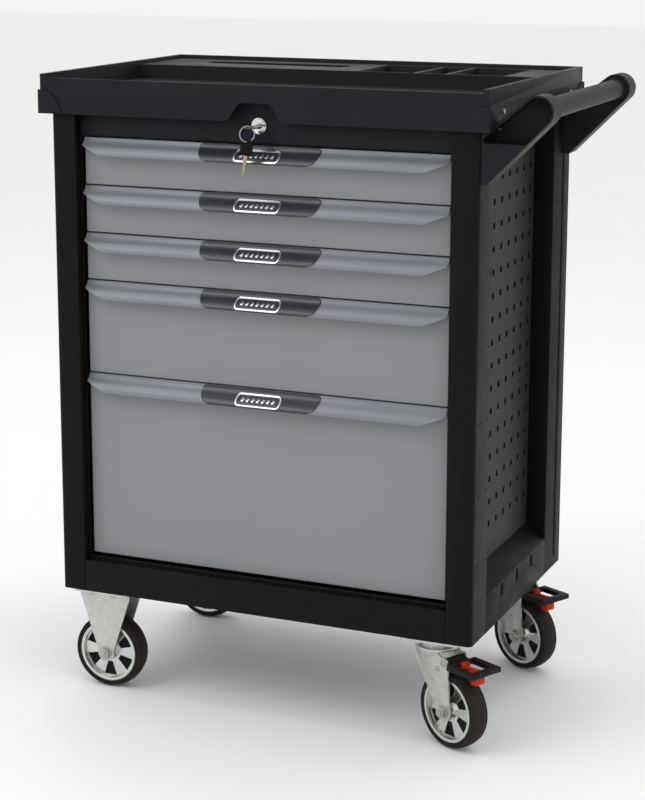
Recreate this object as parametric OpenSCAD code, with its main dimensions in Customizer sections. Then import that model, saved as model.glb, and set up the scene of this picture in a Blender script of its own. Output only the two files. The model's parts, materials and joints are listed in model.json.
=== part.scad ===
// Rolling tool chest with five drawers, two fixed casters and two braked swivel casters.
// Origin: centre of the cabinet plan at floor level. +X is the handle side, -Y the drawer side, +Z up.

/* [Cabinet] */
// Width over the corner posts
cabinet_w = 726; // [620:2:900]
// Depth over the corner posts
cabinet_d = 480; // [400:2:640]
// Height of the corner posts
cabinet_h = 800; // [660:5:960]
// Thickness of the steel sheets
steel_t = 1.5; // [1:0.1:2]
// Wall thickness of the plastic mouldings
plastic_t = 3; // [2:0.5:4]

/* [Corner posts and panels] */
// Width of a corner post seen from the front
post_w = 43; // [38:1:60]
// Length of a front post along the side
front_post_l = 70; // [50:1:90]
// Length of a rear post along the side
rear_post_l = 95; // [60:1:110]
// Corner radius of the posts
post_r = 8; // [4:1:12]
// How far the perforated side panels lie inside the posts
side_recess = 34; // [20:1:34]
// How far the drawer fronts and the back panel lie behind the posts
front_recess = 19; // [15:1:24]
// Height of the front beam
beam_h = 54; // [45:1:62]
// Height of the side skirts at the outside
skirt_h = 64; // [50:1:80]
// Rise of the ledge from the skirt to the side panel
ledge_rise = 26; // [0:1:40]
// Side of the square holes in the side panels
hole_a = 10; // [6:1:14]
// Pitch of the square holes
hole_pitch = 37.5; // [30:0.5:45]

/* [Drawers] */
// Height of the header above the top drawer
header_h = 38; // [36:1:60]
// Distance from the posts' underside to the lowest drawer
sill_h = 62; // [62:1:80]
// Side clearance between a drawer front and a corner post
front_side_gap = 7.5; // [6:0.5:10]
// Gap between one drawer front and the next
front_gap = 2; // [1:0.5:4]
// Thickness of a drawer front
front_t = 18; // [12:1:25]
// Length of a drawer box
box_l = 388; // [300:1:400]
// Space taken by one slide between drawer box and upright
slide_w = 13; // [12:0.5:14]
// Height of the cabinet member of a slide
slide_h = 35; // [30:1:40]

/* [Pull rails] */
// Height of the pull rail
rail_h = 27; // [22:1:32]
// How far the pull rail stands out of the drawer front
rail_out = 22; // [16:1:23]
// Wall thickness of the pull rail
rail_t = 2.6; // [2:0.1:3.2]
// Length of the plastic grip in the middle of the rail
grip_l = 206; // [120:2:240]
// Wall thickness of the grip
grip_t = 2.4; // [2:0.1:3]

/* [Top tray] */
// How far the tray stands out of the posts at the sides
tray_over_x = 15; // [8:1:20]
// How far the tray stands out of the posts at the front and back
tray_over_y = 7; // [5:1:12]
// Height of the side and back rims of the tray
rim_h = 63; // [55:1:80]
// Height of the front lip and of the rear shelf
lip_h = 57; // [50:1:62]
// Depth of the tool well below the front lip
well_depth = 25; // [15:1:30]
// Thickness of the side and back rims
rim_t = 9; // [6:1:14]
// Depth of the rear shelf
shelf_d = 173; // [150:1:190]
// Depth of the pockets in the rear shelf
pocket_depth = 44; // [30:1:48]
// Thickness of the anti-slip mat
mat_t = 2; // [1:0.5:4]

/* [Push handle] */
// Diameter of the handle tube
tube_d = 32; // [25:1:38]
// Distance from the corner posts to the tube axis
tube_out = 86; // [70:1:100]
// Height of the tube axis above the underside of the tray
tube_up = 32; // [20:1:45]
// Width of a handle bracket along the tube
bracket_w = 40; // [30:1:55]

/* [Casters] */
// Wheel diameter
wheel_d = 125; // [100:1:150]
// Tyre width
tyre_w = 32; // [26:1:36]
// Height from the top of the wheel to the underside of the cabinet
stack_h = 50; // [48:1:60]
// Distance from the inner face of a corner post to a caster
caster_in_x = 27; // [27:1:60]
// Distance from the front of the cabinet to the front casters
caster_in_front = 40; // [40:1:80]
// Distance from the back of the cabinet to the rear casters
caster_in_rear = 66; // [55:1:90]
// Trail of the swivel casters
trail = 40; // [30:1:45]
// Angle at which the swivel casters are parked
park_angle = -27; // [-45:1:0]

/* [Hidden] */

$fn = 48;
eps = 0.01;
half_w = cabinet_w / 2;
half_d = cabinet_d / 2;
base_z = wheel_d + stack_h;
top_z = base_z + cabinet_h;

// Steel carcass
panel_x = half_w - side_recess;
panel_in = panel_x - steel_t;
front_y = -half_d + front_recess;
back_y = half_d - front_recess;
recess_y0 = -half_d + front_post_l;
recess_y1 = half_d - rear_post_l;
hole_cols = floor((recess_y1 - recess_y0 - 2 * hole_a) / hole_pitch);
hole_z0 = base_z + skirt_h + ledge_rise + hole_pitch * 1.5;
hole_rows = floor((top_z - 30 - hole_z0) / hole_pitch) + 1;
hole_y1 = recess_y1 - hole_pitch / 2;
post_in = half_w - post_w;
slide_x0 = post_in - front_side_gap - 6.5;
slide_x1 = slide_x0 + slide_w;
upright_w = 30;
jamb_l = 14;

// Drawers, counted from the top; each entry is the drawer's height in modules
DRAWER_MODULES = [1, 1, 1, 2, 4];
drawer_count = len(DRAWER_MODULES);
function modules_above(i) = i == 0 ? 0 : DRAWER_MODULES[i - 1] + modules_above(i - 1);
module_h = (cabinet_h - header_h - sill_h) / modules_above(drawer_count);
function drawer_top(i) = top_z - header_h - module_h * modules_above(i);
function drawer_h(i) = module_h * DRAWER_MODULES[i] - front_gap;
function drawer_low(i) = drawer_top(i) - drawer_h(i);
front_half = post_in - front_side_gap;
box_half = slide_x0;
box_wall = 1.2;
sheet_seam = 0.05; // between the sheets of a drawer box
front_flange = 26;
box_y0 = front_y + front_t;
box_low_gap = 5;
box_top_gap = 17;
function box_low(i) = drawer_low(i) + box_low_gap;
function box_h(i) = drawer_h(i) - box_low_gap - box_top_gap;
slide_l = box_l;
slide_up = 27;
slide_skin = 1.2;
function slide_z(i) = box_low(i) + slide_up;

// Pull rails
rail_steps = 12;
rail_root = 2.2;
rail_cut_x = 40;
rail_cut_z = 15;
grip_cut = 22;
function rail_y(t) = -rail_root - (rail_out - rail_root) * (1 - cos(180 * t)) / 2;
function rail_curve(out, t0, t1) = [for (k = [0 : rail_steps])
    let (t = t0 + (t1 - t0) * k / rail_steps) [rail_y(t) - out, -rail_h * t]];

// Tray
tray_x = half_w + tray_over_x;
tray_y = half_d + tray_over_y;
tray_top = top_z + rim_h;
lip_z = top_z + lip_h;
well_z = lip_z - well_depth;
shelf_y = tray_y - shelf_d;
pocket_z = lip_z - pocket_depth;
pocket_y0 = shelf_y + 4;
pocket_y1 = tray_y - rim_t - 18;
slot_r = 21;
slot_y = shelf_y + 92;
slot_x0 = -tray_x + 120;
slot_x1 = -tray_x + 348;
// Left and right ends of the three square pockets
POCKETS = [[40, 138], [145, 193], [200, 297]];
bumper_r = 38;
bumper_t = 3;
arch_top = 29;
arch_half_top = 22;
arch_half_low = 50;
arch_steps = 10;
function arch_side(side, wider, lower, order) = [for (k = order) let (t = k / arch_steps)
    [side * (arch_half_low + wider - (arch_half_low - arch_half_top) * t),
        top_z + (arch_top - lower) * (1 - cos(180 * t)) / 2]];
function arch_curve(wider, lower) = concat(arch_side(-1, wider, lower, [0 : arch_steps]),
    arch_side(1, wider, lower, [arch_steps : -1 : 0]));

// Lock
lock_z = top_z - 7;
lock_r = 12.5;
plug_r = 9;
fit = 0.08;
lock_plate_t = 3;
lock_face_y = front_y - lock_plate_t;
lock_proud = 7;
keyway_w = 9.2;
keyway_h = 2.6;
keyway_deep = 4;
sleeve_r = 13;
sleeve_l = 22;
plug_l = 26;
rod_r = 3;
cam_half = 3.5;
cam_t = 4;
cam_l = 16;
bar_x = 14;
bar_w = 22;
bar_t = 3;
bar_y = back_y - 22;
bar_low = base_z + 70;
bar_top = lock_z - 24;
cam_y = bar_y - 6;
finger_l = 8;
finger_t = 3;
guide_h = 14;
guide_wing = 12;
guide_gap = 0.5;
bow_l = 26;
bow_r = 9;
bow_t = 2.4;
bow_neck = 12;
blade_w = 8;
bow_y = lock_face_y - lock_proud + keyway_deep - 0.3 - bow_neck - bow_l / 2 + 1;
bow_hole_y = -6.5;
bow_hole_r = 4;
ring_r = 12;
ring_wire = 0.8;
ring_dir = 225;
ring_shift = 6.4;
ring_rest = 0.6;
ring_at = [ring_shift * cos(ring_dir), bow_y + bow_hole_y + ring_shift * sin(ring_dir),
    lock_z + bow_t / 2 + ring_rest - (ring_r - ring_wire)];

// Push handle
tube_x = half_w + tube_out;
tube_z = top_z + tube_up;
tube_wall = 2;
arm_r = 24;
arm_t = 3;
bracket_y0 = half_d - 5;
bracket_low = top_z - 78;

// Casters
axle_z = wheel_d / 2;
axle_r = 5;
hub_half = 19;
cheek_gap = 20;
cheek_t = 3;
rim_r = wheel_d / 2 - 11;
plate_t = 3;
plate_l = 100;
plate_w = 80;
race_h = 12;
race_r = 29;
crown_t = 4;
run_gap = 0.3;
crown_top = base_z - plate_t - race_h - run_gap;
pin_r = 6;
bolt_r = 4;
bolt_x = 20;
bolt_y = 30;
pedal_r = 4;
pedal_pivot = [trail - 2, wheel_d + 17];
pedal_l = 74;
pedal_half = 31;
pedal_frame = 11;
tab_reach = 50;
pedal_t = 8;
swivel_x = post_in - caster_in_x;
fixed_x = -swivel_x;
caster_y0 = -half_d + caster_in_front;
caster_y1 = half_d - caster_in_rear;

module mirror_pair(v) {
    children();
    mirror(v) children();
}

module block(x0, x1, y0, y1, z0, z1) {
    translate([x0, y0, z0]) cube([x1 - x0, y1 - y0, z1 - z0]);
}

// A bar of constant outline along X; the outline is drawn in Y and Z
module along_x(x0, x1) {
    translate([x0, 0, 0]) rotate([90, 0, 90]) linear_extrude(x1 - x0) children();
}

// A bar of constant outline along Y; the outline is drawn in X and Z
module along_y(y0, y1) {
    translate([0, y1, 0]) rotate([90, 0, 0]) linear_extrude(y1 - y0) children();
}

module rounded_rect(w, h, r) {
    square([w - 2 * r, h], center = true);
    square([w, h - 2 * r], center = true);
    for (sx = [-1, 1], sy = [-1, 1]) translate([sx * (w / 2 - r), sy * (h / 2 - r)]) circle(r);
}

// Steel side panel on the +X side, with square holes and two slide uprights
module side_panel() {
    difference() {
        block(panel_in, panel_x, front_y, back_y, base_z, top_z);
        for (c = [0 : hole_cols - 1], r = [0 : hole_rows - 1])
            translate([panel_in - 1, hole_y1 - c * hole_pitch - hole_a / 2,
                hole_z0 + r * hole_pitch - hole_a / 2])
                cube([steel_t + 2, hole_a, hole_a]);
    }
    for (y = [box_y0 + 6, box_y0 + slide_l - upright_w - 6]) upright(y);
}

// Folded channel that carries the drawer slides
module upright(y) {
    difference() {
        block(slide_x1, panel_in, y, y + upright_w, base_z + sill_h, top_z - header_h);
        block(slide_x1 + steel_t, panel_in + 1, y + steel_t, y + upright_w - steel_t, base_z, top_z);
    }
}

module right_side_panel() {
    color([0.15, 0.145, 0.15]) side_panel();
}

module left_side_panel() {
    color([0.15, 0.145, 0.15]) mirror([1, 0, 0]) side_panel();
}

module back_panel() {
    color([0.14, 0.14, 0.14])
        block(-panel_in, panel_in, back_y - steel_t, back_y, base_z + steel_t, top_z - steel_t);
}

module base_pan() {
    color([0.14, 0.14, 0.14]) difference() {
        union() {
            block(-panel_in, panel_in, front_y, back_y, base_z, base_z + steel_t);
            block(-post_in + plastic_t, post_in - plastic_t, -half_d + plastic_t, front_y + eps, base_z,
                base_z + steel_t);
            block(-panel_in, panel_in, back_y - 2 * steel_t, back_y - steel_t, base_z, base_z + 30);
        }
        caster_bolt_holes();
    }
}

// Header, two jambs, sill and top sheet, welded into one piece
module welded_frame() {
    color([0.12, 0.12, 0.12]) difference() {
        union() {
            block(-panel_in, panel_in, front_y, front_y + steel_t, top_z - header_h + 2, top_z);
            block(-panel_in, panel_in, front_y, back_y, top_z - steel_t, top_z);
            block(-panel_in, panel_in, front_y, front_y + steel_t, base_z + steel_t, base_z + sill_h - 4);
            mirror_pair([1, 0, 0]) jamb();
        }
        translate([0, front_y + 12, lock_z]) rotate([90, 0, 0]) cylinder(r = sleeve_r + 0.3, h = 20);
        block(-sleeve_r - 2, sleeve_r + 2, front_y + steel_t, front_y + 32, top_z - 5, top_z + 1);
    }
}

module jamb() {
    block(slide_x1 + 0.5, panel_in, front_y, front_y + steel_t, base_z + steel_t, top_z);
    block(slide_x1 + 0.5, slide_x1 + 0.5 + steel_t, front_y, front_y + jamb_l, base_z + steel_t, top_z);
}

// Cross-section of a post at the front right corner: an L with a rounded outer corner and hollow legs
module post_outline(length) {
    difference() {
        union() {
            square([post_w, front_recess]);
            translate([post_w - side_recess, 0]) square([side_recess, length]);
        }
        difference() {
            translate([post_w - post_r, -1]) square([post_r + 1, post_r + 1]);
            translate([post_w - post_r, post_r]) circle(post_r);
        }
        difference() {
            translate([plastic_t, plastic_t]) square([post_w - 2 * plastic_t, front_recess - 2 * plastic_t]);
            translate([post_w - post_r, plastic_t - 1]) square([post_r, post_r]);
        }
        translate([post_w - side_recess + plastic_t, front_recess])
            square([side_recess - 2 * plastic_t, length - front_recess - plastic_t]);
    }
}

module post(length) {
    translate([post_in, -half_d, base_z]) linear_extrude(cabinet_h) post_outline(length);
}

module front_posts() {
    color([0.09, 0.085, 0.085]) mirror_pair([1, 0, 0]) post(front_post_l);
}

module rear_posts() {
    color([0.09, 0.085, 0.085]) mirror_pair([1, 0, 0]) mirror([0, 1, 0]) post(rear_post_l);
}

// Moulded beam across the front, below the lowest drawer, open at the back
module front_beam() {
    color([0.11, 0.105, 0.105]) difference() {
        block(-post_in, post_in, -half_d, front_y, base_z, base_z + beam_h);
        block(-post_in - 1, post_in + 1, -half_d + plastic_t, front_y + 1, base_z - 1,
            base_z + beam_h - plastic_t);
    }
}

// Moulded skirt below each side panel, with a sloping ledge and three shallow notches
module skirt() {
    notch_l = 14;
    notch_h = 20;
    difference() {
        along_y(recess_y0, recess_y1) polygon([[panel_x, base_z], [half_w, base_z], [half_w, base_z + skirt_h],
            [panel_x, base_z + skirt_h + ledge_rise]]);
        along_y(recess_y0 - 1, recess_y1 + 1) polygon([[panel_x + plastic_t, base_z - 1],
            [half_w - plastic_t, base_z - 1], [half_w - plastic_t, base_z + skirt_h - plastic_t],
            [panel_x + plastic_t, base_z + skirt_h + ledge_rise - 2 * plastic_t]]);
        for (k = [1 : 3]) translate([half_w - 2, recess_y0 + k * (recess_y1 - recess_y0) / 4 - notch_l / 2,
            base_z + skirt_h - notch_h - 5]) cube([3, notch_l, notch_h]);
    }
}

module side_skirts() {
    color([0.11, 0.105, 0.105]) mirror_pair([1, 0, 0]) skirt();
}

// Tray moulding: apron with rims, a well for tools and a rear shelf with pockets
module top_tray() {
    color([0.16, 0.16, 0.18]) difference() {
        union() {
            tray_shell();
            pocket_boxes(plastic_t);
            mirror_pair([1, 0, 0]) tray_bumpers();
        }
        pocket_boxes(0);
        lock_arch();
    }
}

module tray_shell() {
    difference() {
        block(-tray_x, tray_x, -tray_y, tray_y, top_z, tray_top);
        block(-tray_x + rim_t, tray_x - rim_t, -tray_y - 1, tray_y - rim_t, lip_z, tray_top + 1);
        block(-tray_x + rim_t, tray_x - rim_t, -tray_y + rim_t / 2, shelf_y, well_z, tray_top + 1);
        block(-tray_x + plastic_t, tray_x - plastic_t, -tray_y + plastic_t, shelf_y, top_z - 1,
            well_z - plastic_t);
        block(-tray_x + plastic_t, tray_x - plastic_t, shelf_y + plastic_t, tray_y - plastic_t, top_z - 1,
            lip_z - plastic_t);
    }
}

module pocket_boxes(grow) {
    low = pocket_z - grow;
    for (p = POCKETS) block(p[0] - grow, p[1] + grow, pocket_y0 - grow, pocket_y1 + grow, low,
        grow > 0 ? lip_z - 1 : tray_top + 1);
    translate([0, slot_y, low]) linear_extrude(grow > 0 ? lip_z - 1 - low : tray_top + 1 - low) {
        translate([(slot_x0 + slot_x1) / 2, 0]) square([slot_x1 - slot_x0, 2 * (slot_r + grow)], center = true);
        for (x = [slot_x0, slot_x1]) translate([x, 0]) circle(slot_r + grow);
    }
}

// Quarter-round pads at the lower corners of the tray
module tray_bumpers() {
    mirror_pair([0, 1, 0]) {
        along_y(-tray_y - bumper_t, -tray_y + 1) translate([tray_x, top_z]) bumper_outline(1);
        along_x(tray_x - 1, tray_x + bumper_t) translate([-tray_y, top_z]) bumper_outline(-1);
    }
}

module bumper_outline(side) {
    polygon(concat([[side * bumper_t, 0], [side * bumper_t, bumper_r]],
        [for (a = [90 : 6 : 180]) [side * bumper_r * cos(a), bumper_r * sin(a)]]));
}

// Arch in the apron around the lock
module lock_arch() {
    along_y(-tray_y - 10, -tray_y + rim_t / 2 + 1) polygon(concat([[-arch_half_low, top_z - 1]],
        arch_curve(0, 0), [[arch_half_low, top_z - 1]]));
}

module tray_mat() {
    mat_gap = 2;
    color([0.14, 0.135, 0.14]) translate([0, (shelf_y - tray_y + rim_t / 2) / 2, well_z]) linear_extrude(mat_t)
        rounded_rect(2 * (tray_x - rim_t - mat_gap), tray_y + shelf_y - rim_t / 2 - 2 * mat_gap, 6);
}

// Outline of a handle bracket, seen from the front: an arm from the post up to the tube
module bracket_outline(shrink) {
    r = arm_r - shrink;
    foot = half_w + shrink;
    d = [tube_x - half_w, tube_z - bracket_low - arm_r];
    a = atan2(d[1], d[0]);
    intersection() {
        union() {
            translate([tube_x, tube_z]) circle(r);
            polygon([[tube_x + r * sin(a + 4), tube_z - r * cos(a + 4)],
                [tube_x - r * sin(a - 12), tube_z + r * cos(a - 12)],
                [foot, top_z - 4 - 2 * shrink], [foot, bracket_low + 2 * shrink],
                [foot + 10, bracket_low + shrink]]);
        }
        translate([foot, 0]) square([400, 2 * tray_top]);
    }
}

// Bracket at the front; its pocket is open towards the front above a small ledge
module bracket() {
    ledge_z = top_z - 17;
    translate([0, -bracket_y0, 0]) difference() {
        along_y(0, bracket_w) bracket_outline(0);
        intersection() {
            along_y(-1, bracket_w - arm_t) bracket_outline(arm_t);
            block(0, 2 * tube_x, -1, bracket_w, ledge_z, 2 * tray_top);
        }
        block(0, tray_x + bumper_t + 0.3, -1, bracket_w + 1, top_z - 0.3, 2 * tray_top);
    }
}

module handle_brackets() {
    color([0.17, 0.17, 0.18]) mirror_pair([0, 1, 0]) bracket();
}

module handle_tube() {
    color([0.2, 0.18, 0.16]) along_y(-bracket_y0 + bracket_w, bracket_y0 - bracket_w)
        translate([tube_x, tube_z]) difference() {
            circle(tube_d / 2);
            circle(tube_d / 2 - tube_wall);
        }
}

// Plate behind the arch, with the sleeve that holds the lock
module lock_housing() {
    color([0.13, 0.13, 0.135]) difference() {
        union() {
            along_y(lock_face_y, front_y) lock_plate_outline();
            translate([0, front_y + sleeve_l, lock_z]) rotate([90, 0, 0])
                cylinder(r = sleeve_r, h = sleeve_l + eps);
        }
        translate([0, front_y + 40, lock_z]) rotate([90, 0, 0]) cylinder(r = plug_r + fit, h = 60);
    }
}

module lock_plate_outline() {
    margin = 8;
    low = top_z - header_h + 4;
    polygon(concat([[-arch_half_low - margin, low]], arch_curve(margin, 0.6), [[arch_half_low + margin, low]]));
}

// Turning lock cylinder with its tail rod and cam
module lock_plug() {
    color([0.8, 0.8, 0.78]) {
        translate([0, lock_face_y - 0.2, lock_z]) rotate([90, 0, 0]) difference() {
            union() {
                cylinder(r = lock_r, h = lock_proud - 1.5);
                cylinder(r1 = lock_r, r2 = lock_r - 1.5, h = lock_proud);
            }
            translate([-keyway_w / 2, -keyway_h / 2, lock_proud - keyway_deep]) cube([keyway_w, keyway_h, 10]);
        }
        translate([0, front_y + plug_l, lock_z]) rotate([90, 0, 0])
            cylinder(r = plug_r, h = plug_l + lock_plate_t + 0.4);
        translate([0, cam_y, lock_z]) rotate([90, 0, 0]) cylinder(r = rod_r, h = cam_y - front_y - plug_l + 0.1);
        block(-cam_half, cam_half, cam_y - cam_t, cam_y, lock_z - cam_l, lock_z + rod_r);
    }
}

// Key in the lock, with a flat bow and a hole for the ring
module key() {
    color([0.35, 0.35, 0.34]) translate([0, bow_y, lock_z]) difference() {
        union() {
            translate([-blade_w / 2, bow_l / 2 - 1, -bow_t / 2 + 0.2]) cube([blade_w, bow_neck, bow_t - 0.4]);
            translate([0, 0, -bow_t / 2]) linear_extrude(bow_t) rounded_rect(bow_l, bow_l, bow_r);
        }
        translate([0, bow_hole_y, -bow_t]) cylinder(r = bow_hole_r, h = 2 * bow_t);
    }
}

// Wire ring that hangs in the bow
module key_ring() {
    color([0.7, 0.7, 0.7]) translate(ring_at) rotate([0, 0, ring_dir]) rotate([90, 0, 0])
        rotate_extrude() translate([ring_r, 0]) circle(ring_wire, $fn = 24);
}

// Flat locking bar behind the drawers, running in two guides on the back panel
module lock_bar() {
    color([0.55, 0.55, 0.55]) {
        block(bar_x, bar_x + bar_w, bar_y, bar_y + bar_t, bar_low, bar_top);
        for (i = [0 : drawer_count - 1]) block(bar_x, bar_x + bar_w, bar_y - finger_l, bar_y + eps,
            slide_z(i) - 10, slide_z(i) - 10 + finger_t);
    }
}

// Carriage rails of the slides, fixed to the uprights
module cabinet_slide(i) {
    x1 = slide_x1;
    y0 = box_y0 + 2;
    z = slide_z(i);
    difference() {
        block(x1 - 5.5, x1, y0, y0 + slide_l - 4, z - slide_h / 2, z + slide_h / 2);
        block(x1 - 6.5, x1 - slide_skin, y0 - 1, y0 + slide_l, z - slide_h / 2 + slide_skin,
            z + slide_h / 2 - slide_skin);
    }
}

module cabinet_slides() {
    color([0.65, 0.65, 0.65]) mirror_pair([1, 0, 0]) for (i = [0 : drawer_count - 1]) cabinet_slide(i);
    color([0.65, 0.65, 0.65]) for (z = [bar_low + 60, bar_top - 30]) bar_guide(z);
}

// Bracket on the back panel that the locking bar runs through
module bar_guide(z) {
    g = guide_gap;
    wing = guide_wing;
    difference() {
        block(bar_x - wing, bar_x + bar_w + wing, bar_y - 3, back_y - steel_t, z, z + guide_h);
        block(bar_x - g, bar_x + bar_w + g, bar_y - g, bar_y + bar_t + g, z - 1, z + guide_h + 1);
        block(bar_x - wing / 2, bar_x + bar_w + wing / 2, bar_y + bar_t + 3, back_y - steel_t + 1, z - 1,
            z + guide_h + 1);
    }
}

// Ball carriage between the cabinet member and the drawer member, an I section
module mid_slide(i) {
    x0 = box_half;
    y0 = box_y0 + 2;
    z = slide_z(i);
    h = slide_h / 2 - slide_skin - 1.2;
    block(x0 + 5.9, x0 + 7.1, y0, y0 + slide_l - 4, z - h, z + h);
    for (s = [-1, 1]) block(x0 + 2, slide_x1 - slide_skin - 0.5, y0, y0 + slide_l - 4,
        z + s * (h - 0.6) - 0.6, z + s * (h - 0.6) + 0.6);
}

module mid_slides(i) {
    color([0.6, 0.6, 0.6]) mirror_pair([1, 0, 0]) mid_slide(i);
}

// Drawer member of a slide, fixed to the drawer box
module drawer_slide(i) {
    x0 = box_half;
    z = slide_z(i);
    h = slide_h / 2 - slide_skin - 3.4;
    difference() {
        block(x0, x0 + 5.4, box_y0 + 2, box_y0 + slide_l - 2, z - h, z + h);
        block(x0 + slide_skin, x0 + 6.4, box_y0, box_y0 + slide_l, z - h + slide_skin, z + h - slide_skin);
    }
}

module drawer_box(i) {
    low = box_low(i);
    top = low + box_h(i);
    wall_low = low + box_wall + sheet_seam;
    end_half = box_half - box_wall - sheet_seam;
    color([0.3, 0.3, 0.31]) {
        block(-box_half, box_half, box_y0, box_y0 + box_l, low, low + box_wall);
        mirror_pair([1, 0, 0]) {
            block(box_half - box_wall, box_half, box_y0, box_y0 + box_l, wall_low, top);
            drawer_slide(i);
        }
        for (y = [box_y0, box_y0 + box_l - box_wall])
            block(-end_half, end_half, y, y + box_wall, wall_low, top);
    }
}

// Pressed drawer front, a shallow pan open at the back
module drawer_front(i) {
    color([0.55, 0.56, 0.57]) difference() {
        block(-front_half, front_half, front_y, box_y0, drawer_low(i), drawer_top(i));
        block(-front_half + box_wall, front_half - box_wall, front_y + box_wall, box_y0 - box_wall,
            drawer_low(i) + box_wall, drawer_top(i) - box_wall);
        block(-front_half + front_flange, front_half - front_flange, front_y + box_wall, box_y0 + 1,
            drawer_low(i) + front_flange, drawer_top(i) - front_flange);
    }
}

// Outline of the pull rail in Y and Z, hung from the drawer front's top edge
module rail_outline() {
    inner = rail_curve(-rail_t, 1, 0.3);
    polygon(concat(rail_curve(0, 0, 1), inner, [[0, inner[rail_steps][1]], [0, 0]]));
}

module pull_rail(i) {
    color([0.58, 0.59, 0.61]) translate([0, front_y, drawer_top(i)]) difference() {
        along_x(-front_half, front_half) rail_outline();
        mirror_pair([1, 0, 0]) along_y(-rail_out - 5, -rail_root - 3) polygon([
            [front_half - rail_cut_x, -rail_h - 1], [front_half + 1, -rail_h + rail_cut_z],
            [front_half + 1, -rail_h - 1]]);
    }
}

// Grip shell over the middle of the rail, with slanted ends
module grip(i) {
    color([0.24, 0.25, 0.28]) translate([0, front_y, drawer_top(i)]) difference() {
        along_x(-grip_l / 2, grip_l / 2) polygon(concat(rail_curve(grip_t, 0, 1), rail_curve(0, 1, 0)));
        mirror_pair([1, 0, 0]) along_y(-rail_out - 8, 1) polygon([
            [grip_l / 2 - grip_cut, -rail_h - 1], [grip_l / 2 + 1, -rail_h * 0.35],
            [grip_l / 2 + 1, -rail_h - 1]]);
    }
}

// Tyre around the Y axis
module tyre() {
    crown = 6;
    rotate([90, 0, 0]) rotate_extrude($fn = 96) difference() {
        translate([rim_r, -tyre_w / 2]) square([wheel_d / 2 - rim_r, tyre_w]);
        for (s = [-1, 1]) translate([wheel_d / 2, s * tyre_w / 2]) rotate(45)
            square([crown, crown], center = true);
    }
}

// Cast wheel centre with six windows
module rim() {
    windows = 6;
    disc_t = 16;
    rotate([90, 0, 0]) difference() {
        rotate_extrude($fn = 96) difference() {
            union() {
                translate([axle_r + fit, -hub_half]) square([11 - fit, 2 * hub_half]);
                translate([axle_r + 5, -disc_t / 2]) square([rim_r - axle_r - 8, disc_t]);
                translate([rim_r - 5, -tyre_w / 2]) square([5, tyre_w]);
            }
            translate([0, -50]) square([axle_r + fit, 100]);
        }
        for (k = [0 : windows - 1]) rotate(k * 360 / windows + 30) linear_extrude(40, center = true)
            polygon([[20, -4.5], [rim_r - 8, -12], [rim_r - 8, 12], [20, 4.5]]);
    }
}

module fixed_wheel_at(y) {
    translate([fixed_x, y, axle_z]) children();
}

module swivel_at(y) {
    translate([swivel_x, y, 0]) rotate([0, 0, park_angle]) children();
}

module caster_plate() {
    difference() {
        translate([0, 0, base_z - plate_t]) linear_extrude(plate_t) rounded_rect(plate_l, plate_w, 8);
        for (sx = [-1, 1], sy = [-1, 1]) translate([sx * bolt_x, sy * bolt_y, base_z - plate_t - 1])
            cylinder(r = bolt_r + 0.5, h = plate_t + 2);
    }
}

module caster_bolt_holes() {
    for (x = [fixed_x, swivel_x], y = [caster_y0, caster_y1], sx = [-1, 1], sy = [-1, 1])
        translate([x + sx * bolt_x, y + sy * bolt_y, base_z - 1]) cylinder(r = bolt_r + 0.5, h = steel_t + 2);
}

// Cheek of a fork in X and Z; the axle lies at x
module cheek_outline(x, top, x0, x1) {
    difference() {
        union() {
            translate([x, axle_z]) circle(15);
            polygon([[x0, top], [x1, top], [x1, top - 10], [x + 14.5, axle_z + 4], [x - 14.5, axle_z + 4],
                [x0, top - 10]]);
        }
        translate([x, axle_z]) circle(axle_r + 0.3);
    }
}

module axle(x) {
    head_r = 9;
    head_h = 6;
    reach = cheek_gap + cheek_t;
    translate([x, reach, axle_z]) rotate([90, 0, 0]) cylinder(r = axle_r, h = 2 * reach);
    for (s = [-1, 1]) translate([x, s * (reach + head_h / 2), axle_z]) rotate([90, 0, 0])
        cylinder(r = head_r, h = head_h, center = true, $fn = 6);
}

module fixed_fork() {
    caster_plate();
    for (s = [-1, 1]) translate([0, s * (cheek_gap + cheek_t / 2) + cheek_t / 2, 0]) rotate([90, 0, 0])
        linear_extrude(cheek_t) cheek_outline(0, base_z - plate_t + eps, -46, 46);
    axle(0);
}

module fixed_forks() {
    color([0.6, 0.6, 0.58]) for (y = [caster_y0, caster_y1]) translate([fixed_x, y, 0]) fixed_fork();
}

module swivel_plate() {
    difference() {
        union() {
            caster_plate();
            translate([0, 0, base_z - plate_t - race_h]) cylinder(r = race_r, h = race_h + eps);
        }
        translate([0, 0, base_z - plate_t - race_h - 1]) cylinder(r = pin_r + fit, h = race_h + plate_t + 2);
    }
}

module swivel_plates() {
    color([0.62, 0.62, 0.6]) for (y = [caster_y0, caster_y1]) translate([swivel_x, y, 0]) swivel_plate();
}

// Swivelling fork: crown, king pin, two raked cheeks and the axle, in its own frame
module fork_body() {
    crown_r = 34;
    cheek_top = crown_top - crown_t;
    ear_r = 9;
    translate([0, 0, cheek_top]) cylinder(r = crown_r, h = crown_t);
    translate([0, 0, cheek_top]) cylinder(r = pin_r, h = base_z - cheek_top - 0.5);
    for (s = [-1, 1]) translate([0, s * (cheek_gap + cheek_t / 2) + cheek_t / 2, 0]) rotate([90, 0, 0])
        linear_extrude(cheek_t) difference() {
            union() {
                translate([trail, axle_z]) circle(15);
                polygon([[-24, cheek_top + eps], [24, cheek_top + eps], [pedal_pivot[0] + ear_r, pedal_pivot[1]],
                    [trail + 14.5, axle_z + 4], [trail - 14.5, axle_z - 3], [-24, cheek_top - 18]]);
                translate(pedal_pivot) circle(ear_r);
            }
            translate([trail, axle_z]) circle(axle_r + 0.3);
            translate(pedal_pivot) circle(pedal_r + fit);
        }
    axle(trail);
}

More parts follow.
